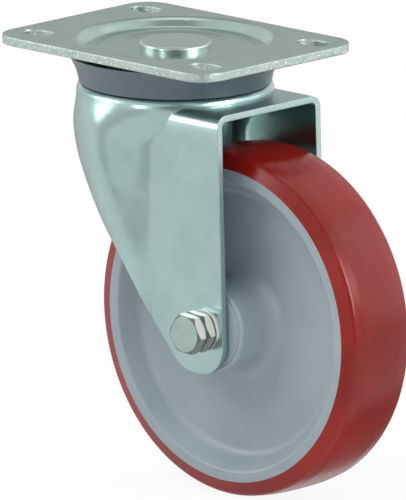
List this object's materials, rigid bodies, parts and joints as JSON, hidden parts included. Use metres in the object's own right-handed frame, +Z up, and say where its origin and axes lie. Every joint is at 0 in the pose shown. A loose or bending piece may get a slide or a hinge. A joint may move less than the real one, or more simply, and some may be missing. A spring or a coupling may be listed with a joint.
{
  "type": "swivel castor",
  "caption": "Swivel castor with a slotted rectangular top plate, a dished ball head with a dust seal, a pressed fork and a red-tyred wheel on a through bolt.",
  "frame": {"origin": "centre of the four fixing slots, on the swivel axis at the plate's upper face", "axes": "+Z up along the swivel axis, +X from the swivel axis towards the wheel, Y along the wheel's axle"},
  "size_m": [0.197, 0.103, 0.2025],
  "materials": {
    "zinc_sheet": "bright zinc plated, smooth",
    "zinc_hardware": "bright zinc plated",
    "bearing_steel": "hardened and polished",
    "seal_plastic": "satin",
    "tyre": "glossy cast elastomer",
    "wheel_core": "satin moulded",
    "white_plastic": "smooth"
  },
  "bodies": {
    "plate": {"top_plate": "zinc_sheet", "kingpin": "zinc_hardware", "lower_race_cup": "bearing_steel"},
    "upper_ball_ring": {"upper_balls": "bearing_steel"},
    "lower_ball_ring": {"lower_balls": "bearing_steel"},
    "fork": {"fork": "zinc_sheet", "dust_seal": "seal_plastic", "axle_bolt": "zinc_hardware", "jam_nut": "zinc_hardware", "head_washer": "zinc_hardware", "nut_washer": "zinc_hardware", "lock_nut": "zinc_hardware", "lock_nut_insert": "white_plastic", "axle_tube": "bearing_steel"},
    "wheel": {"tyre": "tyre", "wheel_core": "wheel_core", "bearing_sleeve": "bearing_steel", "hub_cover_near": "wheel_core", "hub_cover_far": "wheel_core"},
    "roller_set": {"rollers": "bearing_steel", "roller_cage": "white_plastic"}
  },
  "joints": [
    {"name": "swivel", "type": "hinge", "parent": "plate", "child": "fork", "pos_m": [0, 0, -0.02], "axis": [0, 0, 1], "continuous": true},
    {"name": "wheel_spin", "type": "hinge", "parent": "fork", "child": "wheel", "pos_m": [0.05, 0, -0.1225], "axis": [0, 1, 0], "continuous": true},
    {"name": "upper_balls_orbit", "type": "hinge", "parent": "plate", "child": "upper_ball_ring", "pos_m": [0, 0, -0.0113], "axis": [0, 0, 1], "continuous": true},
    {"name": "lower_balls_orbit", "type": "hinge", "parent": "plate", "child": "lower_ball_ring", "pos_m": [0, 0, -0.0196], "axis": [0, 0, 1], "continuous": true},
    {"name": "roller_orbit", "type": "hinge", "parent": "fork", "child": "roller_set", "pos_m": [0.05, 0, -0.1225], "axis": [0, 1, 0], "continuous": true}
  ],
  "couplings": [
    {"joint": "upper_balls_orbit", "follows": "swivel", "ratio": 0.5},
    {"joint": "lower_balls_orbit", "follows": "swivel", "ratio": 0.5},
    {"joint": "roller_orbit", "follows": "wheel_spin", "ratio": 0.5851}
  ]
}
